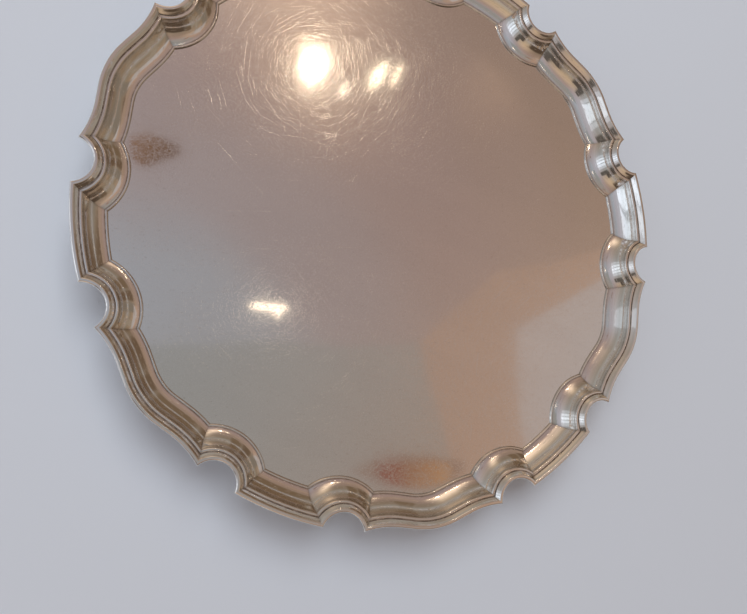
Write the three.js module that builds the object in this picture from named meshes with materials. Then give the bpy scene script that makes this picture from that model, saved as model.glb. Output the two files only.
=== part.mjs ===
// Footed silver salver with a shaped "piecrust" border.
//
// A flat scalloped plate of sheet silver carries twelve border castings, six long
// serpentine panels and six short curved ones, which butt in the middle of the round
// notches between them. Three cast cabriole feet stand under every second long panel.
//
// Millimetres, +Z up. The origin is on the salver's axis, in the plane its feet stand on.
// +X runs through the middle of a long panel, and the outline repeats every 60 degrees.

import * as THREE from 'three';

// ---- Driving dimensions ----------------------------------------------------------------
const UNIT = 151.5;                  // outline unit: every outline length below is a multiple of it
const APEX_R = 1.006 * UNIT;         // middle of a long panel, from the axis (152.4: 12 in across)
const CROWN_R = 0.266 * UNIT;        // convex arc in the middle of a long panel
const CROWN_TURN = deg(16.23);       // how far that arc turns on each side of the middle
const STRAIGHT = 0.0519 * UNIT;      // straight run between crown and flank
const FLANK_R = 0.2902 * UNIT;       // concave arc that sweeps out again to the notch
const FLANK_UP = deg(7.67);          // upward heading of the flank at its tip
const NOTCH_R = 0.0688 * UNIT;       // round notch between two panels
const NOTCH_C = [0.31278 * UNIT, 0.96937 * UNIT]; // its centre, across and out from a long panel's middle
const SHORT_R = 1.0053 * UNIT;       // short panel: an arc about the salver's own axis

const HEIGHT = 30.0;                 // lip above the table
const BORDER_DEPTH = 12.0;           // lip above the serving face
const BORDER_WIDTH = 15.3;           // outline to the start of the flat
const PLATE_T = 1.1;                 // gauge of the sheet
const PLATE_INSET = 11.3;            // outline to the edge of the plate, under the castings
const FACE_INSET = 15.4;             // outline to the edge of the serving face, inside the castings
const SOLDER = 0.1;                  // solder film under castings and feet, and depth of the castings' seat
const BUTT = 0.1;                    // half the gap between two castings

const FOOT_ANGLES = [60, 180, 300];  // under every second long panel
const PLATE_TOP = HEIGHT - BORDER_DEPTH;
const PLATE_BOTTOM = PLATE_TOP - PLATE_T;

// Border section as [inset from the outline, height below the lip], outer edge first:
// rounded lip, sloping band, groove, reed, cavetto, bead, then back along the underside.
const SECTION = [
  [0.0, -1.9], [0.35, -0.62], [1.2, 0.0], [1.8, -0.2],
  [3.4, -1.9], [3.8, -2.75], [4.7, -2.5], [6.1, -4.3],
  [8.0, -7.6], [10.6, -10.0], [14.2, -11.45], [15.0, -11.1],
  [BORDER_WIDTH, -BORDER_DEPTH], [11.0, -BORDER_DEPTH],
  [6.9, -8.5], [2.0, -3.4],
];

// Foot as level oval rings: [height, centre from the axis, half size radially, half size across]
const FOOT_RINGS = [
  [0.0, 150.1, 5.4, 5.2],
  [1.2, 150.3, 6.2, 6.0],
  [2.6, 150.0, 5.8, 5.6],
  [4.0, 149.3, 4.2, 4.1],
  [5.4, 148.1, 3.1, 2.9],
  [7.0, 146.7, 3.0, 2.7],
  [9.0, 144.9, 3.6, 3.1],
  [11.0, 142.9, 4.4, 3.7],
  [13.0, 140.7, 5.4, 4.4],
  [14.6, 138.7, 6.6, 5.4],
  [15.5, 137.1, 7.8, 6.8],
  [15.9, 136.0, 9.3, 8.4],
  [PLATE_BOTTOM - SOLDER, 136.0, 9.5, 8.6],
];
const FOOT_SIDES = 14;

// Facets along each stretch of a half unit
const N_CROWN = 3, N_STRAIGHT = 1, N_FLANK = 4, N_NOTCH = 5, N_SHORT = 2;

function deg(a) { return a * Math.PI / 180; }

// ---- Outline ---------------------------------------------------------------------------
// Half a unit is drawn beside a long panel's middle: x across, y outward from the axis.
const crownC = [0, APEX_R - CROWN_R];
const crownEnd = [CROWN_R * Math.sin(CROWN_TURN), crownC[1] + CROWN_R * Math.cos(CROWN_TURN)];
const flankStart = [
  crownEnd[0] + STRAIGHT * Math.cos(CROWN_TURN),
  crownEnd[1] - STRAIGHT * Math.sin(CROWN_TURN),
];
const flankC = [
  flankStart[0] + FLANK_R * Math.sin(CROWN_TURN),
  flankStart[1] + FLANK_R * Math.cos(CROWN_TURN),
];
const longTip = [flankC[0] + FLANK_R * Math.sin(FLANK_UP), flankC[1] - FLANK_R * Math.cos(FLANK_UP)];
const notchDir = (() => {            // from the notch's centre to its deepest point
  const shortTip = meet(NOTCH_C, NOTCH_R, [0, 0], SHORT_R, [0.37186 * UNIT, 0.93397 * UNIT]);
  const dx = shortTip[0] - longTip[0], dy = shortTip[1] - longTip[1], l = Math.hypot(dx, dy);
  return Math.atan2(-dx / l, dy / l);
})();

// the point where two circles cross, the one nearer to `near`
function meet(c0, r0, c1, r1, near) {
  const dx = c1[0] - c0[0], dy = c1[1] - c0[1], d = Math.hypot(dx, dy);
  const a = (r0 * r0 - r1 * r1 + d * d) / (2 * d), h = Math.sqrt(Math.max(0, r0 * r0 - a * a));
  const mx = c0[0] + a * dx / d, my = c0[1] + a * dy / d;
  const p = [mx - h * dy / d, my + h * dx / d], q = [mx + h * dy / d, my - h * dx / d];
  const far = (s) => Math.hypot(s[0] - near[0], s[1] - near[1]);
  return far(p) < far(q) ? p : q;
}

// Points of the half unit at an inset, in stretches from the long panel's middle to the
// short panel's. Arcs keep their centres, so insets stay parallel and the tips mitre.
function halfUnit(inset, butt) {
  const rc = CROWN_R - inset, rf = FLANK_R + inset, rn = NOTCH_R + inset, rs = SHORT_R - inset;
  const tipL = meet(flankC, rf, NOTCH_C, rn, longTip);
  const tipS = meet(NOTCH_C, rn, [0, 0], rs, [0.37186 * UNIT, 0.93397 * UNIT]);
  const span = (n, f) => Array.from({ length: n + 1 }, (_, i) => f(i / n));
  const crown = span(N_CROWN, (t) => {
    const a = CROWN_TURN * t;
    return [crownC[0] + rc * Math.sin(a), crownC[1] + rc * Math.cos(a)];
  });
  const run0 = crown[crown.length - 1];
  const run1 = [flankC[0] - rf * Math.sin(CROWN_TURN), flankC[1] - rf * Math.cos(CROWN_TURN)];
  const run = span(N_STRAIGHT, (t) => [run0[0] + (run1[0] - run0[0]) * t, run0[1] + (run1[1] - run0[1]) * t]);
  const aTip = Math.atan2(tipL[0] - flankC[0], flankC[1] - tipL[1]);
  const flank = span(N_FLANK, (t) => {
    const a = -CROWN_TURN + (aTip + CROWN_TURN) * t;
    return [flankC[0] + rf * Math.sin(a), flankC[1] - rf * Math.cos(a)];
  });
  const round = (from, to) => span(N_NOTCH, (t) => {
    const a = from + (to - from) * t;
    return [NOTCH_C[0] + rn * Math.cos(a), NOTCH_C[1] + rn * Math.sin(a)];
  });
  const ang = (p) => {
    const a = Math.atan2(p[1] - NOTCH_C[1], p[0] - NOTCH_C[0]);
    return a > Math.PI / 2 ? a - 2 * Math.PI : a;
  };
  const mid = notchDir > 0 ? notchDir - 2 * Math.PI : notchDir, back = Math.asin(butt / rn);
  const notchL = round(ang(tipL), mid - back);
  const notchS = round(mid + back, ang(tipS));
  const vTip = Math.atan2(tipS[0], tipS[1]);
  const short = span(N_SHORT, (t) => {
    const v = vTip + (Math.PI / 6 - vTip) * t;
    return [rs * Math.sin(v), rs * Math.cos(v)];
  });
  return {
    long: [...crown, ...run.slice(1), ...flank.slice(1), ...notchL.slice(1)],
    short: [...notchS, ...short.slice(1)],
  };
}

// turns a half-unit point into the salver's frame; side -1 mirrors it about the panel's middle
function place(p, side, axisAngle) {
  const v = Math.atan2(p[0], p[1]) * side, r = Math.hypot(p[0], p[1]);
  return [r * Math.cos(axisAngle + v), r * Math.sin(axisAngle + v)];
}

// outline of one casting at an inset, clockwise end to anticlockwise end
function panelPath(kind, index, inset, butt = BUTT) {
  const half = halfUnit(inset, butt);
  if (kind === 'long') {
    const a = deg(60 * index);
    const right = half.long.map((p) => place(p, 1, a));
    const left = half.long.slice(1).map((p) => place(p, -1, a)).reverse();
    return [...left, ...right];
  }
  const before = deg(60 * index), after = deg(60 * (index + 1));
  const first = half.short.map((p) => place(p, 1, before));
  const second = half.short.slice(0, -1).map((p) => place(p, -1, after)).reverse();
  return [...first, ...second];
}

// ---- Solids ----------------------------------------------------------------------------
function solid(vertices, faces) {
  let volume = 0;
  const at = (i) => vertices[i];
  for (const [a, b, c] of faces) {
    const p = at(a), q = at(b), r = at(c);
    volume += p[0] * (q[1] * r[2] - q[2] * r[1]) - p[1] * (q[0] * r[2] - q[2] * r[0]) + p[2] * (q[0] * r[1] - q[1] * r[0]);
  }
  const index = (volume < 0 ? faces.map(([a, b, c]) => [a, c, b]) : faces).flat();
  const g = new THREE.BufferGeometry();
  g.setAttribute('position', new THREE.Float32BufferAttribute(vertices.flat(), 3));
  g.setIndex(index);
  g.computeVertexNormals();
  return g;
}

// rings of equal length joined into a skin, with a triangulated cap on each end
function loft(rings, firstShape, lastShape = firstShape) {
  const m = rings[0].length, vertices = rings.flat(), faces = [];
  for (let i = 0; i + 1 < rings.length; i++) {
    for (let j = 0; j < m; j++) {
      const a = i * m + j, b = i * m + (j + 1) % m, c = a + m, d = b + m;
      faces.push([a, b, d], [a, d, c]);
    }
  }
  // the skin runs forward along the first ring and back along the last, so the caps do the opposite
  const cap = (shape, forward, base) => {
    const tris = THREE.ShapeUtils.triangulateShape(shape.map(([x, y]) => new THREE.Vector2(x, y)), []);
    const runsForward = tris.some(([a, b, c]) => (a === 0 && b === 1) || (b === 0 && c === 1) || (c === 0 && a === 1));
    for (const [a, b, c] of tris) {
      faces.push(runsForward === forward ? [a + base, b + base, c + base] : [a + base, c + base, b + base]);
    }
  };
  cap(firstShape, false, 0);
  cap(lastShape, true, (rings.length - 1) * m);
  return solid(vertices, faces);
}

function borderCasting(kind, index) {
  const columns = SECTION.map(([inset]) => panelPath(kind, index, inset));
  const rings = columns[0].map((_, i) => SECTION.map(([, drop], j) => [columns[j][i][0], columns[j][i][1], HEIGHT + drop]));
  return loft(rings, SECTION);
}

// closed path round the whole salver at an inset
function roundPath(inset) {
  const points = [];
  for (let k = 0; k < 6; k++) {
    points.push(...panelPath('long', k, inset, 0), ...panelPath('short', k, inset, 0).slice(1, -1));
  }
  return points;
}

// disc with a shallow seat round its upper edge, which the castings lie on
function plate() {
  const edge = roundPath(PLATE_INSET), face = roundPath(FACE_INSET);
  const level = (path, z) => path.map(([x, y]) => [x, y, z]);
  const rings = [
    level(edge, PLATE_BOTTOM), level(edge, PLATE_TOP - SOLDER),
    level(face, PLATE_TOP - SOLDER), level(face, PLATE_TOP),
  ];
  return loft(rings, edge, face);
}

function foot() {
  const rings = FOOT_RINGS.map(([z, r, a, b]) => Array.from({ length: FOOT_SIDES }, (_, i) => {
    const t = 2 * Math.PI * i / FOOT_SIDES;
    return [r + a * Math.cos(t), b * Math.sin(t), z];
  }));
  return loft(rings, rings[0].map(([x, y]) => [x, y]));
}

// ---- Assembly --------------------------------------------------------------------------
const flatSilver = () => new THREE.MeshStandardMaterial({ color: new THREE.Color(0.84, 0.79, 0.75), metalness: 1, roughness: 0.16 });
const borderSilver = () => new THREE.MeshStandardMaterial({ color: new THREE.Color(0.9, 0.86, 0.8), metalness: 1, roughness: 0.08 });
const footSilver = () => new THREE.MeshStandardMaterial({ color: new THREE.Color(0.88, 0.85, 0.8), metalness: 1, roughness: 0.14 });

const salver = new THREE.Group();
salver.name = 'salver';

function add(name, geometry, material, parent = salver) {
  const mesh = new THREE.Mesh(geometry, material);
  mesh.name = name;
  parent.add(mesh);
  return mesh;
}

add('flat_plate', plate(), flatSilver());
for (let k = 0; k < 6; k++) {
  add(`border_long_${k + 1}`, borderCasting('long', k), borderSilver());
  add(`border_short_${k + 1}`, borderCasting('short', k), borderSilver());
}
FOOT_ANGLES.forEach((angle, i) => {
  add(`foot_${i + 1}`, foot(), footSilver()).rotation.z = deg(angle);
});

export default salver;
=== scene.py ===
import math

import bpy
import numpy as np
from mathutils import Matrix, Vector

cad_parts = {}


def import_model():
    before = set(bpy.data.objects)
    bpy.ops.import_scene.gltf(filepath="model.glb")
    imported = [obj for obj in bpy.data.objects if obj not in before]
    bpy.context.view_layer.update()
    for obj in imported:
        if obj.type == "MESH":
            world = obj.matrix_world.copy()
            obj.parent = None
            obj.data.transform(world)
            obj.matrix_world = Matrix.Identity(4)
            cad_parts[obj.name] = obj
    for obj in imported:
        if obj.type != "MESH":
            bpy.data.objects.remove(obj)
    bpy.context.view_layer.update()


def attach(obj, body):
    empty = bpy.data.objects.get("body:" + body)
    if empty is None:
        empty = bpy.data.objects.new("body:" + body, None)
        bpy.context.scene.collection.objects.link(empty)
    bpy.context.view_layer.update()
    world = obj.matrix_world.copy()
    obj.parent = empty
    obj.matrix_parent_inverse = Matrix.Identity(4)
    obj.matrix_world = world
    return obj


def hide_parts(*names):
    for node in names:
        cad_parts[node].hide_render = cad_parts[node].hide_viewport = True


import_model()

# ---------------------------------------------------------------------------------------
# dimensions, as the CAD has them (millimetres, turned into metres when meshes are made)
# ---------------------------------------------------------------------------------------
U = 151.5
APEX_R = 1.006 * U
CROWN_R = 0.266 * U
CROWN_TURN = math.radians(16.23)
STRAIGHT = 0.0519 * U
FLANK_R = 0.2902 * U
FLANK_UP = math.radians(7.67)
NOTCH_R = 0.0688 * U
NOTCH_C = np.array([0.31278, 0.96937]) * U
SHORT_R = 1.0053 * U
SHORT_TIP = np.array([0.37186, 0.93397]) * U
HEIGHT = 30.0
DEPTH = 12.0
PLATE_T = 1.1
PLATE_INSET = 11.3
TOP = HEIGHT - DEPTH
BOTTOM = TOP - PLATE_T
FOOT_ANGLES = (60, 180, 300)


# ---------------------------------------------------------------------------------------
# outline
# ---------------------------------------------------------------------------------------
def meet(c0, r0, c1, r1, near):
    c0, c1 = np.asarray(c0, float), np.asarray(c1, float)
    d = np.hypot(*(c1 - c0))
    a = (r0 * r0 - r1 * r1 + d * d) / (2 * d)
    h = math.sqrt(max(0.0, r0 * r0 - a * a))
    u = (c1 - c0) / d
    m, n = c0 + a * u, np.array([-u[1], u[0]])
    return min((m + h * n, m - h * n), key=lambda q: np.hypot(*(q - near)))


crown_c = np.array([0.0, APEX_R - CROWN_R])
crown_end = crown_c + CROWN_R * np.array([math.sin(CROWN_TURN), math.cos(CROWN_TURN)])
flank_start = crown_end + STRAIGHT * np.array([math.cos(CROWN_TURN), -math.sin(CROWN_TURN)])
flank_c = flank_start + FLANK_R * np.array([math.sin(CROWN_TURN), math.cos(CROWN_TURN)])
long_tip = flank_c + FLANK_R * np.array([math.sin(FLANK_UP), -math.cos(FLANK_UP)])
_chord = meet(NOTCH_C, NOTCH_R, (0, 0), SHORT_R, SHORT_TIP) - long_tip
NOTCH_MID = math.atan2(-_chord[0], _chord[1])
if NOTCH_MID > 0:
    NOTCH_MID -= 2 * math.pi


def half_unit(inset, n):
    """half a repeat at an inset: (points of the long panel's half, points of the short panel's half)"""
    rc, rf, rn, rs = CROWN_R - inset, FLANK_R + inset, NOTCH_R + inset, SHORT_R - inset
    tip_l = meet(flank_c, rf, NOTCH_C, rn, long_tip)
    tip_s = meet(NOTCH_C, rn, (0, 0), rs, SHORT_TIP)
    a = np.linspace(0, CROWN_TURN, n["crown"] + 1)
    crown = crown_c + rc * np.c_[np.sin(a), np.cos(a)]
    run1 = flank_c - rf * np.array([math.sin(CROWN_TURN), math.cos(CROWN_TURN)])
    run = crown[-1] + np.linspace(0, 1, n["run"] + 1)[:, None] * (run1 - crown[-1])
    a_tip = math.atan2(tip_l[0] - flank_c[0], flank_c[1] - tip_l[1])
    a = np.linspace(-CROWN_TURN, a_tip, n["flank"] + 1)
    flank = flank_c + rf * np.c_[np.sin(a), -np.cos(a)]

    def ang(p):
        b = math.atan2(p[1] - NOTCH_C[1], p[0] - NOTCH_C[0])
        return b - 2 * math.pi if b > math.pi / 2 else b

    def round_(b0, b1):
        b = np.linspace(b0, b1, n["notch"] + 1)
        return NOTCH_C + rn * np.c_[np.cos(b), np.sin(b)]

    notch_l = round_(ang(tip_l), NOTCH_MID)
    notch_s = round_(NOTCH_MID, ang(tip_s))
    v = np.linspace(math.atan2(tip_s[0], tip_s[1]), math.pi / 6, n["short"] + 1)
    short = rs * np.c_[np.sin(v), np.cos(v)]
    return (
        np.vstack([crown, run[1:], flank[1:], notch_l[1:]]),
        np.vstack([notch_s, short[1:]]),
    )


def place(p, side, axis_angle):
    v = np.arctan2(p[:, 0], p[:, 1]) * side + axis_angle
    r = np.hypot(p[:, 0], p[:, 1])
    return np.c_[r * np.cos(v), r * np.sin(v)]


def panel_path(kind, index, inset, n):
    long_, short_ = half_unit(inset, n)
    if kind == "long":
        a = math.radians(60 * index)
        return np.vstack([place(long_[1:], -1, a)[::-1], place(long_, 1, a)])
    a, b = math.radians(60 * index), math.radians(60 * (index + 1))
    return np.vstack([place(short_, 1, a), place(short_[:-1], -1, b)[::-1]])


def round_path(inset, n):
    out = []
    for k in range(6):
        out += [panel_path("long", k, inset, n), panel_path("short", k, inset, n)[1:-1]]
    return np.vstack(out)


# ---------------------------------------------------------------------------------------
# border section: (inset, height below lip), outer edge first, with small radii at corners
# ---------------------------------------------------------------------------------------
def filleted(points, step=math.radians(18)):
    """open polyline with rounded corners; each point is (x, y, radius)"""
    out = [np.array(points[0][:2], float)]
    for i in range(1, len(points) - 1):
        p = np.array(points[i][:2], float)
        r = points[i][2]
        a, b = np.array(points[i - 1][:2], float) - p, np.array(points[i + 1][:2], float) - p
        la, lb = np.hypot(*a), np.hypot(*b)
        a, b = a / la, b / lb
        half = math.acos(max(-1, min(1, float(a @ b)))) / 2
        if r <= 0 or half > math.pi / 2 - 1e-3:
            out.append(p)
            continue
        cut = min(r / math.tan(half), 0.48 * la, 0.48 * lb)
        r = cut * math.tan(half)
        c = p + (a + b) / np.hypot(*(a + b)) * (r / math.sin(half))
        p0, p1 = p + a * cut, p + b * cut
        t0 = math.atan2(*(p0 - c)[::-1])
        t1 = math.atan2(*(p1 - c)[::-1])
        d = (t1 - t0 + math.pi) % (2 * math.pi) - math.pi
        m = max(2, int(math.ceil(abs(d) / step)))
        for t in np.linspace(t0, t0 + d, m + 1):
            out.append(c + r * np.array([math.cos(t), math.sin(t)]))
    out.append(np.array(points[-1][:2], float))
    return np.array(out)


def bezier(p0, p1, p2, n):
    t = np.linspace(0, 1, n + 1)[:, None]
    return (1 - t) ** 2 * np.array(p0) + 2 * t * (1 - t) * np.array(p1) + t * t * np.array(p2)


def section():
    """closed loop of (inset, drop) and, per point, how dark it is made: oxide in the hollows, a low even value
    underneath, and one painted shadow line at the top of the cavetto
    """
    cav = bezier((6.1, -4.4), (8.4, -10.4), (13.95, -11.5), 26)
    rim = filleted([
        (0.0, -1.9, 0), (0.0, 0.0, 1.45), (1.72, 0.0, 0.55), (2.45, -1.02, 3.0), (3.40, -1.95, 0.12),
        (3.52, -2.82, 0.09), (3.90, -2.86, 0.09), (4.02, -2.28, 0.42), (5.12, -2.34, 0.5), (5.40, -3.2, 0.12),
        (6.02, -4.2, 0.15), tuple(cav[0]) + (0,),
    ], math.radians(14))
    bead = filleted([
        tuple(cav[-1]) + (0,), (14.08, -11.55, 0.08), (14.22, -11.12, 0.22), (14.95, -11.10, 0.3),
        (15.2, -11.75, 0.08), (15.42, -DEPTH, 0),
    ], math.radians(20))
    under = filleted([
        (15.42, -DEPTH, 0), (11.0, -DEPTH, 0), (10.4, -11.95, 0.4), (8.5, -10.45, 1.5), (6.5, -8.0, 1.5),
        (4.9, -5.7, 1.2), (2.6, -3.7, 1.0), (0.75, -2.6, 0.5), (0.0, -1.9, 0),
    ], math.radians(20))
    top = np.vstack([rim[:-1], cav[:-1], bead])
    loop = np.vstack([top, under[1:-1]])
    grime_and_shade = np.zeros(len(loop))
    # oxide in the two grooves (3.70, 5.42) and at the bead (14.02, 15.3); the entry at (6.1, -4.45), on the arris at
    # the top of the cavetto, is a painted shadow line under the ridge
    for w0, z0, s, g in ((3.70, -2.84, 0.24, 1.0), (5.42, -3.22, 0.28, 0.7), (6.1, -4.45, 0.4, 0.3), (14.02, -11.52, 0.28, 0.9),
                         (15.3, -11.95, 0.22, 0.9)):
        d2 = (loop[:, 0] - w0) ** 2 + (loop[:, 1] - z0) ** 2
        grime_and_shade = np.maximum(grime_and_shade, g * np.exp(-d2 / (2 * s * s)))
    grime_and_shade[len(top):] = 0.15
    return loop, grime_and_shade, len(top)


# ---------------------------------------------------------------------------------------
# meshes
# ---------------------------------------------------------------------------------------
def make_mesh(name, verts_mm, faces, material, grime_and_shade=None, sharp=None, path=None):
    me = bpy.data.meshes.new(name)
    me.from_pydata((np.asarray(verts_mm) / 1000.0).tolist(), [], faces)
    me.validate()
    me.polygons.foreach_set("use_smooth", np.ones(len(me.polygons), bool))
    if grime_and_shade is not None:
        at = me.attributes.new("grime_and_shade", "FLOAT", "POINT")
        at.data.foreach_set("value", np.asarray(grime_and_shade, np.float32))
    if path is not None:
        at = me.attributes.new("path", "FLOAT_VECTOR", "POINT")
        at.data.foreach_set("vector", np.asarray(path, np.float32).ravel())
    if sharp:
        keys = set(tuple(sorted(e)) for e in sharp)
        flags = np.zeros(len(me.edges), bool)
        ev = np.zeros(len(me.edges) * 2, np.int32)
        me.edges.foreach_get("vertices", ev)
        for i, (a, b) in enumerate(ev.reshape(-1, 2)):
            if (min(a, b), max(a, b)) in keys:
                flags[i] = True
        at = me.attributes.get("sharp_edge") or me.attributes.new("sharp_edge", "BOOLEAN", "EDGE")
        at.data.foreach_set("value", flags)
    me.update()
    ob = bpy.data.objects.new(name, me)
    bpy.context.scene.collection.objects.link(ob)
    ob.data.materials.append(material)
    return ob


def wobble(x, y, seed, wavelength, amp):
    """smooth, deterministic unevenness of hand work, in millimetres"""
    rng = np.random.RandomState(seed)
    out = np.zeros_like(x)
    for _ in range(9):
        th = rng.uniform(0, 2 * math.pi)
        k = 2 * math.pi / (wavelength * rng.uniform(0.7, 1.6))
        out += np.sin(k * (x * math.cos(th) + y * math.sin(th)) + rng.uniform(0, 2 * math.pi))
    return amp * out / 3.0


FINE = {"crown": 14, "run": 5, "flank": 16, "notch": 20, "short": 14}


def casting(kind, index, material):
    loop, grime_and_shade, n_top = section()
    cols = [panel_path(kind, index, w, FINE) for w in loop[:, 0]]
    P = np.stack(cols, 1)                                  # station, loop point, xy
    ns, m = P.shape[:2]
    z = HEIGHT + np.broadcast_to(loop[:, 1], (ns, m)).copy()
    # the castings were filed and burnished by hand: a slight unevenness, none on box-making points
    free = np.clip((loop[:, 0] - 2.0) / 2.5, 0, 1) * np.clip((15.0 - loop[:, 0]) / 2.0, 0, 1)
    z += free * wobble(P[..., 0], P[..., 1], 5, 24.0, 0.035)
    V = np.concatenate([P, z[..., None]], 2).reshape(-1, 3)
    G = np.broadcast_to(grime_and_shade, (ns, m)).copy()
    # grime also sits in the mitres
    if kind == "long":
        mitres = [FINE["notch"], ns - 1 - FINE["notch"]]
    else:
        mitres = [FINE["notch"], ns - 1 - FINE["notch"]]
    step = np.hypot(*(P[1:, n_top // 2] - P[:-1, n_top // 2]).T)
    along = np.r_[0, np.cumsum(step)]
    for s in mitres:
        G = np.maximum(G, 0.55 * np.exp(-((along - along[s]) / 0.7)[:, None] ** 2) * (loop[:, 0] > 2.2))
    # and a trace of solder shows where two castings butt, underneath only
    ends = np.minimum(along, along[-1] - along)
    low = np.zeros(m)
    low[n_top:] = 1
    G = np.maximum(G, 0.8 * np.exp(-(ends / 0.6)[:, None] ** 2) * low)
    # lengthways and crossways distance on the surface, in metres, for the polishing lines
    across = np.r_[0, np.cumsum(np.hypot(*np.diff(loop, axis=0).T))]
    start = 0.37 * index + (0.11 if kind == "short" else 0.0)
    way = np.stack([np.broadcast_to(along[:, None] / 1000 + start, (ns, m)),
                    np.broadcast_to(across[None] / 1000, (ns, m)), np.zeros((ns, m))], 2).reshape(-1, 3)
    faces = []
    for i in range(ns - 1):
        a, b = i * m, (i + 1) * m
        for j in range(m):
            k = (j + 1) % m
            faces.append((a + j, b + j, b + k, a + k))
    faces.append(tuple(range(m)))
    faces.append(tuple((ns - 1) * m + j for j in range(m - 1, -1, -1)))
    sharp = []
    for s in mitres + [0, ns - 1]:
        sharp += [(s * m + j, s * m + (j + 1) % m) for j in range(m)]
    for j in (n_top - 1, n_top):                          # the edges of the flange underneath
        sharp += [(i * m + j, (i + 1) * m + j) for i in range(ns - 1)]
    ob = make_mesh(f"{kind}_panel_{index + 1}", V, faces, material, G.reshape(-1), sharp, way)
    fix_normals(ob)
    return ob


def fix_normals(ob):
    import bmesh
    bm = bmesh.new()
    bm.from_mesh(ob.data)
    bmesh.ops.recalc_face_normals(bm, faces=bm.faces)
    bm.to_mesh(ob.data)
    bm.free()


def plate(material):
    n = {"crown": 9, "run": 4, "flank": 12, "notch": 12, "short": 10}
    edge = round_path(PLATE_INSET, n)
    m = len(edge)
    # rings from the edge to the middle, close together near the border and even inside it
    s = np.r_[1.0, 0.985, 0.97, np.linspace(0.955, 0.03, 62)]

    def ring(t, z, seed, amp):
        xy = edge * t
        calm = np.clip((0.93 - t) / 0.12, 0, 1)
        return np.c_[xy, z + calm * wobble(xy[:, 0], xy[:, 1], seed, 85.0, amp)]

    top = [ring(t, TOP, 11, 0.05) for t in s]
    low = [ring(t, BOTTOM, 29, 0.05) for t in s]
    rings = [np.c_[edge * 1.0, np.full(m, TOP)]] + top[1:]
    lows = [np.c_[edge * 1.0, np.full(m, BOTTOM)]] + low[1:]
    # the rings and the two middle points; the cut edge is left square, hidden under the castings
    V = np.vstack(rings + lows + [[[0, 0, TOP + float(wobble(np.zeros(1), np.zeros(1), 11, 85.0, 0.05)[0])]],
                                  [[0, 0, BOTTOM + float(wobble(np.zeros(1), np.zeros(1), 29, 85.0, 0.05)[0])]]])
    k = len(s)
    faces = []
    for side in (0, 1):
        base = side * k * m
        for i in range(k - 1):
            a, b = base + i * m, base + (i + 1) * m
            for j in range(m):
                q = (j + 1) % m
                f = (a + j, a + q, b + q, b + j)
                faces.append(f if side == 0 else f[::-1])
        c = 2 * k * m + side
        last = base + (k - 1) * m
        for j in range(m):
            q = (j + 1) % m
            f = (last + j, last + q, c)
            faces.append(f if side == 0 else f[::-1])
    for j in range(m):
        q = (j + 1) % m
        faces.append((j, k * m + j, k * m + q, q))
    r = np.hypot(V[:, 0], V[:, 1])
    # no dark value on the plate: it is zero everywhere (r, the distance from the middle, is not used)
    G = np.zeros(len(V))
    sharp = [(j, (j + 1) % m) for j in range(m)] + [(k * m + j, k * m + (j + 1) % m) for j in range(m)]
    ob = make_mesh("serving_plate", V, faces, material, G, sharp)
    fix_normals(ob)
    return ob


FOOT_RINGS = np.array([
    [0.0, 150.1, 5.4, 5.2], [0.35, 150.25, 5.95, 5.75], [1.2, 150.3, 6.2, 6.0], [2.0, 150.2, 6.1, 5.9],
    [2.6, 150.0, 5.8, 5.6], [3.3, 149.7, 4.9, 4.8], [4.0, 149.3, 4.0, 3.9], [4.7, 148.7, 3.35, 3.2],
    [5.4, 148.1, 3.0, 2.8], [7.0, 146.7, 2.9, 2.6], [9.0, 144.9, 3.5, 3.0], [11.0, 142.9, 4.3, 3.6],
    [13.0, 140.7, 5.3, 4.3], [14.6, 138.7, 6.5, 5.2], [15.4, 137.3, 7.4, 6.2], [15.75, 136.4, 8.6, 7.6],
    [15.95, 136.05, 9.25, 8.35], [16.4, 136.0, 9.45, 8.55], [16.9, 136.0, 9.4, 8.5],
])


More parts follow.
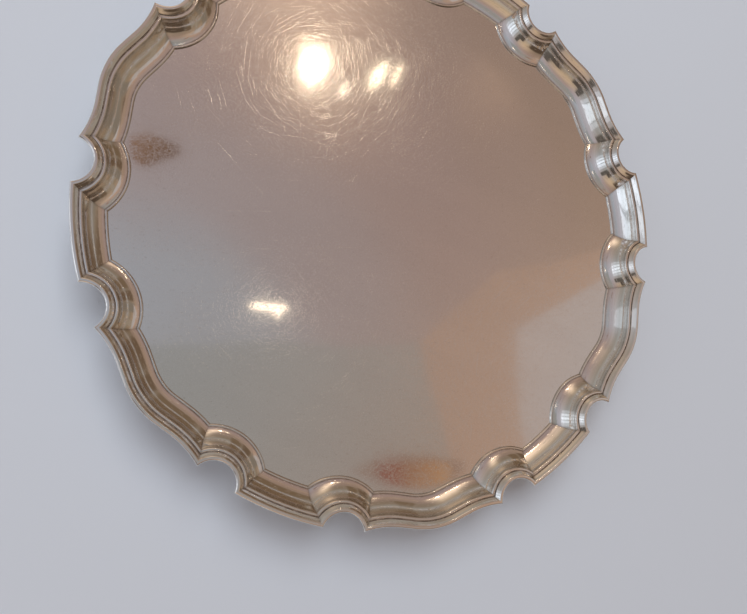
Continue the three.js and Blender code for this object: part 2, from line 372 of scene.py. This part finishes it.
def foot(i, angle, material):
    t = np.linspace(0, 2 * math.pi, 64, endpoint=False)
    zs = []
    for a, b in zip(FOOT_RINGS[:-1, 0], FOOT_RINGS[1:, 0]):
        zs += list(np.linspace(a, b, 5)[:-1])
    zs.append(16.9)
    zs = np.array(zs)

    def smooth(col):
        """monotone cubic through the rings"""
        x, y = FOOT_RINGS[:, 0], FOOT_RINGS[:, col]
        d = np.diff(y) / np.diff(x)
        g = np.zeros(len(x))
        for q in range(1, len(x) - 1):
            g[q] = 0 if d[q - 1] * d[q] <= 0 else 2 * d[q - 1] * d[q] / (d[q - 1] + d[q])
        g[0], g[-1] = d[0], d[-1]
        k = np.clip(np.searchsorted(x, zs, side="right") - 1, 0, len(x) - 2)
        h = x[k + 1] - x[k]
        u = (zs - x[k]) / h
        return ((2 * u**3 - 3 * u**2 + 1) * y[k] + (u**3 - 2 * u**2 + u) * h * g[k]
                + (-2 * u**3 + 3 * u**2) * y[k + 1] + (u**3 - u**2) * h * g[k + 1])

    c, ra, rb = smooth(1), smooth(2), smooth(3)
    V, G = [], []
    for z, cc, a, b in zip(zs, c, ra, rb):
        # the knee carries three raised lobes that run out on the leg, and the flange a scalloped edge
        knee = math.exp(-((z - 12.6) / 2.6) ** 2)
        flange = 1.0 if z > 15.85 else 0.0
        out = np.clip(np.cos(t), 0, 1) ** 0.5
        lobes = np.abs(np.sin(2.5 * t))
        k = 1 - 0.085 * knee * out * (1 - lobes) - 0.05 * flange * (1 - np.abs(np.cos(4.5 * t)))
        V.append(np.c_[cc + a * k * np.cos(t), b * k * np.sin(t), np.full(len(t), z)])
        # the dark value: oxide in the creases between the knee lobes, a low even value everywhere, a band just under
        # the flange, and darker towards the sole
        G.append(0.12 + 0.75 * knee * out * (1 - lobes) ** 3 + (0.5 if 15.3 < z < 15.9 else 0) + 0.25 * math.exp(-z / 0.8))
    V, G = np.vstack(V), np.concatenate(G)
    way = np.stack([np.repeat(zs, len(t)) / 1000, np.tile(t, len(zs)) * 0.005, np.zeros(len(V))], 1)
    a = math.radians(angle)
    R = np.array([[math.cos(a), -math.sin(a), 0], [math.sin(a), math.cos(a), 0], [0, 0, 1]])
    V = V @ R.T
    m, n = len(t), len(zs)
    faces = [(i0 * m + j, i0 * m + (j + 1) % m, (i0 + 1) * m + (j + 1) % m, (i0 + 1) * m + j)
             for i0 in range(n - 1) for j in range(m)]
    faces.append(tuple(range(m - 1, -1, -1)))
    faces.append(tuple((n - 1) * m + j for j in range(m)))
    sharp = [(j, (j + 1) % m) for j in range(m)] + [((n - 1) * m + j, (n - 1) * m + (j + 1) % m) for j in range(m)]
    ob = make_mesh(f"cabriole_foot_{i}", V, faces, material, G, sharp, way)
    fix_normals(ob)
    return ob


# ---------------------------------------------------------------------------------------
# materials
# ---------------------------------------------------------------------------------------
class Tree:
    def __init__(self, name):
        self.mat = bpy.data.materials.new(name)
        self.mat.use_nodes = True
        self.t = self.mat.node_tree
        self.bsdf = self.t.nodes["Principled BSDF"]

    def node(self, kind, inputs=None, **props):
        n = self.t.nodes.new(kind)
        for k, v in props.items():
            setattr(n, k, v)
        for k, v in (inputs or {}).items():
            self.put(n.inputs[k], v)
        return n

    def put(self, socket, v):
        if isinstance(v, bpy.types.NodeSocket):
            self.t.links.new(v, socket)
        else:
            socket.default_value = v

    def math(self, op, a, b=0.0, c=0.0, clamp=False):
        n = self.t.nodes.new("ShaderNodeMath")
        n.operation = op
        n.use_clamp = clamp
        for s, v in zip(n.inputs, (a, b, c)):
            self.put(s, v)
        return n.outputs[0]

    def remap(self, v, a, b, c=0.0, d=1.0, smooth=False):
        n = self.node("ShaderNodeMapRange", {"Value": v, "From Min": a, "From Max": b, "To Min": c, "To Max": d})
        if smooth:
            n.interpolation_type = "SMOOTHSTEP"
        return n.outputs[0]

    def mix(self, fac, a, b):
        n = self.t.nodes.new("ShaderNodeMix")
        n.data_type = "RGBA"
        for s, v in zip((n.inputs[0], n.inputs[6], n.inputs[7]), (fac, a, b)):
            self.put(s, v)
        return n.outputs[2]

    def noise(self, vec, scale, detail=2.0, rough=0.5, distort=0.0, dims="3D"):
        n = self.node("ShaderNodeTexNoise", noise_dimensions=dims)
        for k, v in {"Vector": vec, "Scale": scale, "Detail": detail, "Roughness": rough, "Distortion": distort}.items():
            self.put(n.inputs[k], v)
        return n.outputs[0]

    def scratches(self, vec, angle, spacing, half, run, start, seed):
        """hairlines of one direction: at most one in each strip, broken along its length, as rounded grooves"""
        a = self.node("ShaderNodeMapping", {"Vector": vec, "Rotation": (0, 0, angle), "Location": (seed * 0.137, seed * 0.291, 0)})
        xyz = self.node("ShaderNodeSeparateXYZ", {0: a.outputs[0]}).outputs
        v = self.math("MULTIPLY", xyz[1], 1.0 / spacing)
        row = self.math("FLOOR", v)
        chance = self.node("ShaderNodeTexWhiteNoise", {"W": self.math("ADD", row, seed * 31.7)}, noise_dimensions="1D")
        place_ = self.math("MULTIPLY_ADD", chance.outputs["Value"], 0.8, 0.1)
        far = self.math("ABSOLUTE", self.math("SUBTRACT", self.math("SUBTRACT", v, row), place_))
        x = self.math("MULTIPLY", far, spacing / half)
        groove = self.math("MAXIMUM", self.math("SUBTRACT", 1.0, self.math("MULTIPLY", x, x)), 0.0)
        along = self.node("ShaderNodeCombineXYZ", {0: self.math("MULTIPLY", xyz[0], 1.0 / run), 1: self.math("MULTIPLY", row, 13.7)})
        gate = self.remap(self.noise(along.outputs[0], 1.0, 0.0, dims="2D"), start, start + 0.06)
        depth = self.math("MULTIPLY_ADD", self.node("ShaderNodeSeparateColor", {0: chance.outputs["Color"]}).outputs[1], 0.7, 0.3)
        return self.math("MULTIPLY", self.math("MULTIPLY", groove, gate), depth)

    def grimed_and_shaded(self, tint, rough):
        """dark oxide, and a painted shadow line at the top of the cavetto, where the vertex value says so, broken up a
        little
        """
        co = self.co
        at = self.node("ShaderNodeAttribute", attribute_name="grime_and_shade").outputs["Fac"]
        g = self.math("MULTIPLY", at, self.remap(self.noise(co, 330.0, 2.0), 0.25, 0.65, 0.45, 1.0), clamp=True)
        tint = self.mix(self.math("MULTIPLY", g, 0.85), tint, (0.13, 0.085, 0.05, 1))
        return tint, self.math("MULTIPLY_ADD", g, 0.24, rough, clamp=True)

    def relief(self, height, distance, before=None, width=0.1):
        n = self.node("ShaderNodeBump", {"Strength": 1.0, "Distance": distance, "Height": height, "Filter Width": width})
        if before is not None:
            self.put(n.inputs["Normal"], before)
        return n.outputs[0]


def sheet_silver():
    """rolled and hand-burnished sheet: nearly flat, wiped and used, with hairlines every way"""
    s = Tree("flat_silver")
    s.co = co = s.node("ShaderNodeTexCoord").outputs["Object"]
    bend = s.node("ShaderNodeTexNoise", noise_dimensions="2D")
    s.put(bend.inputs["Vector"], co)
    bend.inputs["Scale"].default_value = 11.0
    bend.inputs["Detail"].default_value = 0.0
    off = s.node("ShaderNodeVectorMath", {0: bend.outputs["Color"], 1: (0.5, 0.5, 0.5)}, operation="SUBTRACT")
    sc = s.node("ShaderNodeVectorMath", {0: off.outputs[0], "Scale": 0.010}, operation="SCALE")
    bent = s.node("ShaderNodeVectorMath", {0: co, 1: sc.outputs[0]}, operation="ADD").outputs[0]
    hair = None
    for i in range(8):
        line = s.scratches(bent, math.radians(22.5 * i + 4), 0.00118, 0.000040, 0.009 + 0.004 * (i % 3), 0.50, i + 1)
        hair = line if hair is None else s.math("MAXIMUM", hair, line)
    deep = None
    for i, (ang, length) in enumerate([(23, 0.018), (74, 0.012), (118, 0.022), (152, 0.015)]):
        line = s.scratches(co, math.radians(ang), 0.013, 0.00008, length, 0.60, i + 21)
        deep = line if deep is None else s.math("MAXIMUM", deep, line)
    worn = s.remap(s.noise(co, 17.0, 3.0, 0.6), 0.36, 0.62, 0.45, 1.0, smooth=True)
    haze = s.remap(s.noise(co, 21000.0, 0.0), 0.655, 0.70)              # the finest swirl marks, as a haze
    cloud = s.remap(s.noise(co, 8.0, 4.0, 0.55, 0.6), 0.36, 0.68, smooth=True)
    wipe = s.remap(s.noise(s.node("ShaderNodeMapping", {"Vector": co, "Rotation": (0, 0, 0.5), "Scale": (14, 60, 14)}).outputs[0], 1.0, 3.0, 0.6), 0.4, 0.7, smooth=True)
    grain = s.noise(co, 1300.0, 0.0)
    specks = s.remap(grain, 0.755, 0.79)

    tint = s.mix(s.math("MULTIPLY", cloud, 0.5), (0.93, 0.895, 0.86, 1), (0.905, 0.845, 0.785, 1))
    tint = s.mix(s.math("MULTIPLY", wipe, 0.16), tint, (0.80, 0.77, 0.75, 1))
    tint = s.mix(s.math("MULTIPLY", specks, 0.22), tint, (0.34, 0.27, 0.21, 1))
    r = s.math("MULTIPLY_ADD", cloud, 0.010, 0.048)
    r = s.math("MULTIPLY_ADD", wipe, 0.012, r)
    r = s.math("MULTIPLY_ADD", haze, 0.20, r)
    r = s.math("MULTIPLY_ADD", s.remap(grain, 0.54, 0.68), 0.045, r)
    r = s.math("MULTIPLY_ADD", s.math("MULTIPLY", hair, worn), 0.05, r)
    r = s.math("MULTIPLY_ADD", deep, 0.06, r)
    tint, r = s.grimed_and_shaded(tint, r)
    s.put(s.bsdf.inputs["Base Color"], tint)
    s.put(s.bsdf.inputs["Roughness"], r)
    s.bsdf.inputs["Metallic"].default_value = 1.0
    n = s.relief(s.noise(co, 16.0, 2.0, 0.45), 0.00010)
    n = s.relief(s.math("MULTIPLY", hair, worn), 0.0000034, n, 0.03)
    n = s.relief(deep, 0.0000065, n, 0.03)
    s.put(s.bsdf.inputs["Normal"], n)
    return s.mat


def cast_silver(name, rough, line, rippled):
    """cast and burnished: fine polishing lines run lengthways, soft ripples left by the file"""
    s = Tree(name)
    s.co = co = s.node("ShaderNodeTexCoord").outputs["Object"]
    way = s.node("ShaderNodeAttribute", attribute_name="path").outputs["Vector"]
    lines = s.noise(s.node("ShaderNodeMapping", {"Vector": way, "Scale": (55, 4200, 0)}).outputs[0], 1.0, 2.0, 0.6, dims="2D")
    streak = s.remap(s.noise(s.node("ShaderNodeMapping", {"Vector": way, "Scale": (28, 900, 0)}).outputs[0], 1.0, 2.0, 0.6, dims="2D"), 0.42, 0.68, smooth=True)
    nick = s.remap(s.noise(s.node("ShaderNodeMapping", {"Vector": way, "Rotation": (0, 0, 0.9), "Scale": (300, 2300, 0)}).outputs[0], 1.0, 0.0, dims="2D"), 0.74, 0.79)
    cloud = s.remap(s.noise(co, 26.0, 4.0, 0.6, 0.4), 0.36, 0.66, smooth=True)
    tint = s.mix(s.math("MULTIPLY", cloud, 0.6), (0.955, 0.93, 0.895, 1), (0.93, 0.865, 0.785, 1))
    tint = s.mix(s.math("MULTIPLY", streak, 0.20), tint, (0.72, 0.66, 0.58, 1))
    r = s.math("MULTIPLY_ADD", cloud, 0.02, rough)
    r = s.math("MULTIPLY_ADD", streak, 0.045, r)
    r = s.math("MULTIPLY_ADD", nick, 0.15, r)
    tint, r = s.grimed_and_shaded(tint, r)
    s.put(s.bsdf.inputs["Base Color"], tint)
    s.put(s.bsdf.inputs["Roughness"], r)
    s.bsdf.inputs["Metallic"].default_value = 1.0
    n = s.relief(s.noise(co, 95.0, 2.0, 0.5), rippled)
    n = s.relief(lines, line, n)
    n = s.relief(s.math("MULTIPLY", nick, -1.0), 0.00001, n)
    s.put(s.bsdf.inputs["Normal"], n)
    return s.mat


mat_flat = sheet_silver()
mat_border = cast_silver("border_silver", 0.055, 0.0000040, 0.00004)
mat_foot = cast_silver("foot_silver", 0.10, 0.0000050, 0.00006)

# ---------------------------------------------------------------------------------------
# the object
# ---------------------------------------------------------------------------------------
p = plate(mat_flat)
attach(p, "root")
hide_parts("flat_plate")
for kind in ("long", "short"):
    for k in range(6):
        ob = casting(kind, k, mat_border)
        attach(ob, "root")
        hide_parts(f"border_{kind}_{k + 1}")
for i, a in enumerate(FOOT_ANGLES, 1):
    ob = foot(i, a, mat_foot)
    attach(ob, "root")
    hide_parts(f"foot_{i}")

# ---------------------------------------------------------------------------------------
# floor, camera, light
# ---------------------------------------------------------------------------------------
def floor():
    me = bpy.data.meshes.new("floor")
    rim = [(12.0 * math.cos(math.radians(3 * i)), 12.0 * math.sin(math.radians(3 * i)), 0.0) for i in range(120)]
    me.from_pydata(rim, [], [tuple(range(120))])
    ob = bpy.data.objects.new("floor", me)
    bpy.context.scene.collection.objects.link(ob)
    s = Tree("floor_paper")
    s.bsdf.inputs["Base Color"].default_value = (0.74, 0.79, 0.86, 1)
    s.bsdf.inputs["Roughness"].default_value = 0.85
    me.materials.append(s.mat)
    return ob


floor()

F_PX = 684.61629
ROT = (2.85121249, 0.613096631, 0.454413765)
TR = np.array([0.0906172231, -0.291845506, 2.25998177])


def rodrigues(v):
    v = np.array(v, float)
    th = np.linalg.norm(v)
    k = v / th
    K = np.array([[0, -k[2], k[1]], [k[2], 0, -k[0]], [-k[1], k[0], 0]])
    return np.eye(3) + math.sin(th) * K + (1 - math.cos(th)) * K @ K


RM = rodrigues(ROT)
CAM_MM = (-RM.T @ TR) * U + np.array([0, 0, HEIGHT])
cam_data = bpy.data.cameras.new("camera")
cam_data.sensor_width = 36.0
cam_data.sensor_fit = "HORIZONTAL"
cam_data.lens = F_PX / 747.0 * 36.0
cam_data.clip_start = 0.01
cam_data.dof.use_dof = False
cam = bpy.data.objects.new("camera", cam_data)
bpy.context.scene.collection.objects.link(cam)
M = Matrix((RM.T @ np.diag([1.0, -1.0, -1.0])).tolist()).to_4x4()
M.translation = Vector((CAM_MM / 1000.0).tolist())
cam.matrix_world = M
bpy.context.scene.camera = cam


def direction(az, el):
    a, e = math.radians(az), math.radians(el)
    return (math.cos(a) * math.cos(e), math.sin(a) * math.cos(e), math.sin(e))


def world():
    """a dim warm room with a paler ceiling, and a few broad soft glows"""
    w = bpy.data.worlds.new("studio")
    bpy.context.scene.world = w
    w.use_nodes = True
    t = w.node_tree
    bg = t.nodes["Background"]

    def put(sock, v):
        if isinstance(v, bpy.types.NodeSocket):
            t.links.new(v, sock)
        else:
            sock.default_value = v

    def op(kind, a, b=0.0, c=0.0):
        n = t.nodes.new("ShaderNodeMath")
        n.operation = kind
        for sk, v in zip(n.inputs, (a, b, c)):
            put(sk, v)
        return n.outputs[0]

    d = t.nodes.new("ShaderNodeTexCoord").outputs["Generated"]
    sep = t.nodes.new("ShaderNodeSeparateXYZ")
    put(sep.inputs[0], d)
    ramp = t.nodes.new("ShaderNodeValToRGB")
    put(ramp.inputs[0], sep.outputs[2])
    el = ramp.color_ramp
    el.interpolation = "EASE"
    stops = [(0.0, (0.30, 0.27, 0.235, 1)), (0.35, (0.22, 0.165, 0.118, 1)), (0.72, (0.27, 0.19, 0.15, 1)),
             (0.88, (0.285, 0.203, 0.184, 1)), (0.955, (0.292, 0.233, 0.226, 1)), (0.985, (0.285, 0.280, 0.298, 1))]
    el.elements[0].position, el.elements[0].color = stops[0]
    el.elements[1].position, el.elements[1].color = stops[-1]
    for pos, col in stops[1:-1]:
        e = el.elements.new(pos)
        e.color = col
    total = ramp.outputs[0]
    for az, elv, k, col in GLOWS:
        dot = t.nodes.new("ShaderNodeVectorMath")
        dot.operation = "DOT_PRODUCT"
        put(dot.inputs[0], d)
        dot.inputs[1].default_value = direction(az, elv)
        f = op("EXPONENT", op("MULTIPLY", op("SUBTRACT", dot.outputs["Value"], 1.0), k))
        sc = t.nodes.new("ShaderNodeVectorMath")
        sc.operation = "SCALE"
        sc.inputs[0].default_value = col
        put(sc.inputs["Scale"], f)
        add = t.nodes.new("ShaderNodeVectorMath")
        add.operation = "ADD"
        put(add.inputs[0], total)
        put(add.inputs[1], sc.outputs[0])
        total = add.outputs[0]
    put(bg.inputs["Color"], total)
    bg.inputs["Strength"].default_value = 1.0


# azimuth, elevation, sharpness, colour
GLOWS = [
    (190, 25, 2.5, (0.0, 0.045, 0.085)),
    (206, 22, 9, (0.15, 0.19, 0.235)),
    (150, 35, 7, (0.09, 0.075, 0.060)),
    (104, 49, 130, (0.70, 0.55, 0.40)),
    (113, 41, 120, (0.50, 0.39, 0.28)),
    (119, 31, 80, (0.34, 0.26, 0.18)),
    (205, 60, 10, (0.11, 0.155, 0.205)),
    (92, 53, 200, (0.22, 0.15, 0.10)),
    (121, 20, 45, (0.17, 0.125, 0.085)),
    (274, 27, 12, (0.30, 0.215, 0.13)),
    (15, 45, 9, (0.10, 0.07, 0.035)),
    (357, 52, 60, (0.12, 0.10, 0.07)),
    (312, 74, 60, (0.12, 0.10, 0.09)),
]
world()


def area(name, at, look, size, radiance, color, shape="RECTANGLE", roll=0.0):
    """an area lamp of a given radiance, unseen by the camera itself"""
    l = bpy.data.lights.new(name, "AREA")
    l.shape = shape
    l.size = size[0]
    surface = size[0] * size[0]
    if shape in ("RECTANGLE", "ELLIPSE"):
        l.size_y = size[1]
        surface = size[0] * size[1]
    if shape in ("DISK", "ELLIPSE"):
        surface *= math.pi / 4
    l.energy = radiance * surface * math.pi
    l.color = color
    o = bpy.data.objects.new(name, l)
    bpy.context.scene.collection.objects.link(o)
    o.location = at
    d = Vector(look) - Vector(at)
    q = d.to_track_quat("-Z", "Y")
    o.rotation_euler = (q @ Matrix.Rotation(roll, 3, "Z").to_quaternion()).to_euler()
    o.visible_camera = False
    return o


def card(name, outline, color, color2=None, glow=None, soft=None):
    """a flat lit card hung over the object, unseen by the camera itself; color2 = its colour at the far X end;
    glow = radius of a soft falloff; soft = (across, half width, half height) of an upright card with feathered edges"""
    me = bpy.data.meshes.new(name)
    pts = np.array(outline, float)
    c = pts.mean(0)
    me.from_pydata((pts - c).tolist(), [], [tuple(range(len(pts)))])
    ob = bpy.data.objects.new(name, me)
    ob.location = c
    bpy.context.scene.collection.objects.link(ob)
    s = Tree(name)
    t = s.t
    t.nodes.remove(s.bsdf)
    out = t.nodes["Material Output"]
    em = s.node("ShaderNodeEmission")
    em.inputs["Color"].default_value = tuple(color) + (1,)
    if glow:
        co = s.node("ShaderNodeTexCoord").outputs["Object"]
        ln = s.node("ShaderNodeVectorMath", {0: co}, operation="LENGTH").outputs["Value"]
        f = s.math("EXPONENT", s.math("MULTIPLY", s.math("MULTIPLY", ln, ln), -1.0 / (2 * glow * glow)))
        s.put(em.inputs["Strength"], f)
        tr = s.node("ShaderNodeBsdfTransparent")
        ad = s.node("ShaderNodeAddShader", {0: em.outputs[0], 1: tr.outputs[0]})
        t.links.new(ad.outputs[0], out.inputs["Surface"])
    elif soft:
        across, half_w, half_h = soft
        co = s.node("ShaderNodeTexCoord").outputs["Object"]
        u = s.node("ShaderNodeVectorMath", {0: co, 1: across}, operation="DOT_PRODUCT").outputs["Value"]
        v = s.node("ShaderNodeSeparateXYZ", {0: co}).outputs[2]
        a = s.remap(s.math("ABSOLUTE", u), 0.5 * half_w, half_w, 1.0, 0.0, smooth=True)
        b = s.remap(s.math("ABSOLUTE", v), 0.7 * half_h, half_h, 1.0, 0.0, smooth=True)
        tr = s.node("ShaderNodeBsdfTransparent")
        mx = s.node("ShaderNodeMixShader", {0: s.math("MULTIPLY", a, b), 1: tr.outputs[0], 2: em.outputs[0]})
        t.links.new(mx.outputs[0], out.inputs["Surface"])
    else:
        if color2:
            co = s.node("ShaderNodeTexCoord").outputs["Object"]
            x = s.node("ShaderNodeSeparateXYZ", {0: co}).outputs[0]
            lo, hi = (pts - c)[:, 0].min(), (pts - c)[:, 0].max()
            s.put(em.inputs["Color"], s.mix(s.remap(x, lo, hi, smooth=True), tuple(color) + (1,), tuple(color2) + (1,)))
        t.links.new(em.outputs[0], out.inputs["Surface"])
    me.materials.append(s.mat)
    ob.visible_camera = False
    ob.visible_shadow = False
    return ob


def disc(centre, radius, n=48):
    return [(centre[0] + radius * math.cos(2 * math.pi * i / n), centre[1] + radius * math.sin(2 * math.pi * i / n), centre[2])
            for i in range(n)]


# a small warm lamp with its glow, and three slim tubes beside it
area("lamp", (-0.029, 0.678, 1.1), (0, 0, 0), (0.045, 0.056), 18.0, (1.0, 0.86, 0.66), "ELLIPSE")
card("lamp_bloom", disc((-0.033, 0.684, 1.12), 0.13), (0.55, 0.42, 0.27), glow=0.026)
card("lamp_flare_1", disc((-0.056, 0.718, 1.125), 0.07), (1.0, 0.77, 0.52), glow=0.014)
card("lamp_flare_2", disc((-0.075, 0.744, 1.13), 0.05), (0.60, 0.45, 0.30), glow=0.011)
card("lamp_glow", disc((-0.02, 0.70, 1.14), 0.42), (0.215, 0.14, 0.075), glow=0.112)
card("tube_1", [(0.046, 0.646, 1.1), (0.046, 0.672, 1.1), (0.051, 0.685, 1.1), (0.067, 0.664, 1.1), (0.060, 0.653, 1.1)], (2.2, 1.9, 1.5))
card("tube_2", [(0.098, 0.690, 1.1), (0.092, 0.722, 1.1), (0.097, 0.754, 1.1), (0.111, 0.772, 1.1), (0.117, 0.760, 1.1),
                (0.117, 0.732, 1.1), (0.112, 0.700, 1.1)], (3.4, 3.0, 2.2))
card("tube_3", [(0.138, 0.718, 1.1), (0.133, 0.748, 1.1), (0.136, 0.776, 1.1), (0.146, 0.793, 1.1), (0.149, 0.775, 1.1),
                (0.148, 0.746, 1.1), (0.144, 0.721, 1.1)], (3.0, 2.5, 1.8))
card("tube_4", [(0.057, 0.125, 1.1), (0.134, 0.162, 1.1), (0.140, 0.149, 1.1), (0.127, 0.140, 1.1), (0.129, 0.122, 1.1),
                (0.119, 0.123, 1.1), (0.110, 0.132, 1.1), (0.062, 0.114, 1.1)], (3.2, 2.7, 2.1))

# five tall cool soft boxes side by side, towards -X
for i, (az, level) in enumerate(((184.0, 0.17), (193.5, 0.44), (203.5, 0.60), (213.5, 0.46), (223.0, 0.20))):
    d = direction(az, 0)
    area(f"soft_box_{i + 1}", (1.7 * d[0], 1.7 * d[1], 0.93), (0, 0, 0.55), (0.225, 1.72), level, (0.84, 0.95, 1.10))

# dark flags either side of them and across the room, so that the edges of the silver read
def flag(name, az0, az1, el0, el1, far, color):
    pts = []
    for az, el in ((az0, el0), (az1, el0), (az1, el1), (az0, el1)):
        a = math.radians(az)
        pts.append((far * math.cos(a), far * math.sin(a), 0.03 + far * math.tan(math.radians(el))))
    side = Vector(pts[1]) - Vector(pts[0])
    return card(name, pts, color, soft=(tuple(side.normalized()), side.length / 2, (pts[2][2] - pts[1][2]) / 2))


flag("flag_1", 234, 252, 0, 50, 1.9, (0.100, 0.088, 0.078))
flag("flag_8", 240, 269, -1, 23, 2.1, (0.090, 0.072, 0.060))
flag("flag_2", 42, 61, 1, 40, 2.2, (0.140, 0.093, 0.060))
flag("flag_4", 59, 80, 1, 36, 2.2, (0.165, 0.112, 0.070))
flag("flag_5", 25, 44, 1, 45, 2.2, (0.205, 0.170, 0.135))
flag("flag_6", 6, 17, 1, 45, 2.1, (0.29, 0.235, 0.18))
flag("flag_7", 343, 359, 3, 28, 2.1, (0.14, 0.094, 0.060))
flag("flag_3", 284, 352, -3, 23, 2.0, (0.085, 0.058, 0.040))

# warm and cool boards overhead, towards +X
card("board_a", [(-0.255, -0.075, 1.5), (0.583, 0.305, 1.5), (0.761, 0.088, 1.5), (0.881, -0.075, 1.5), (0.888, -0.273, 1.5),
                 (-0.035, -0.575, 1.5)], (0.275, 0.287, 0.290), (0.325, 0.272, 0.240))
card("board_b", [(0.583, 0.305, 1.5), (0.739, 0.620, 1.5), (1.042, 0.851, 1.5), (1.464, 1.167, 1.5), (1.447, 1.219, 1.5),
                 (1.194, 0.898, 1.5), (1.076, 0.758, 1.5), (0.851, 0.477, 1.5), (0.940, 0.286, 1.5), (1.024, 0.145, 1.5),
                 (1.174, -0.120, 1.5), (0.888, -0.273, 1.5), (0.881, -0.075, 1.5), (0.761, 0.088, 1.5)], (0.385, 0.265, 0.205), (0.44, 0.30, 0.22))
card("board_c", [(0.851, 0.477, 1.5), (1.076, 0.758, 1.5), (1.445, 1.225, 1.5), (1.716, 0.687, 1.5), (1.649, 0.338, 1.5),
                 (1.174, -0.120, 1.5), (1.024, 0.145, 1.5), (0.940, 0.286, 1.5)], (0.44, 0.375, 0.35), (0.40, 0.37, 0.36))
card("board_d", [(0.514, -0.091, 1.45), (0.559, -0.055, 1.45), (0.629, -0.016, 1.45), (0.725, 0.024, 1.45), (0.805, 0.046, 1.45),
                 (0.823, 0.036, 1.45), (0.806, -0.005, 1.45), (0.769, -0.043, 1.45), (0.673, -0.081, 1.45), (0.594, -0.094, 1.45)],
     (0.25, 0.165, 0.125))
card("board_e", [(0.567, -0.070, 1.44), (0.605, -0.041, 1.44), (0.637, -0.029, 1.44), (0.663, -0.078, 1.44), (0.610, -0.090, 1.44)],
     (0.21, 0.055, 0.038), (0.24, 0.075, 0.035))
card("board_f", [(0.637, -0.029, 1.44), (0.698, 0.000, 1.44), (0.755, 0.025, 1.44), (0.780, 0.012, 1.44), (0.782, -0.025, 1.44),
                 (0.722, -0.059, 1.44), (0.663, -0.078, 1.44)], (0.26, 0.115, 0.055), (0.42, 0.235, 0.115))
card("board_g", [(-0.360, 0.469, 1.5), (-0.322, 0.498, 1.5), (-0.270, 0.506, 1.5), (-0.232, 0.506, 1.5), (-0.232, 0.484, 1.5),
                 (-0.260, 0.453, 1.5), (-0.283, 0.415, 1.5), (-0.330, 0.413, 1.5)], (0.20, 0.10, 0.045), (0.12, 0.065, 0.035))
card("far_glow", disc((0.495, 1.144, 1.5), 0.30), (0.085, 0.055, 0.03), glow=0.075)

# a broad soft wash for the floor alone, so that it stays pale
wash = area("floor_wash", (-0.7, 0.9, 2.1), (0, 0, 0), (1.5, 1.5), 1.0, (0.86, 0.93, 1.0))
wash.data.energy = 26.0
only = bpy.data.collections.new("floor_only")
only.objects.link(bpy.data.objects["floor"])
wash.light_linking.receiver_collection = only

bpy.context.scene.view_settings.view_transform = "Standard"
bpy.context.scene.view_settings.look = "None"
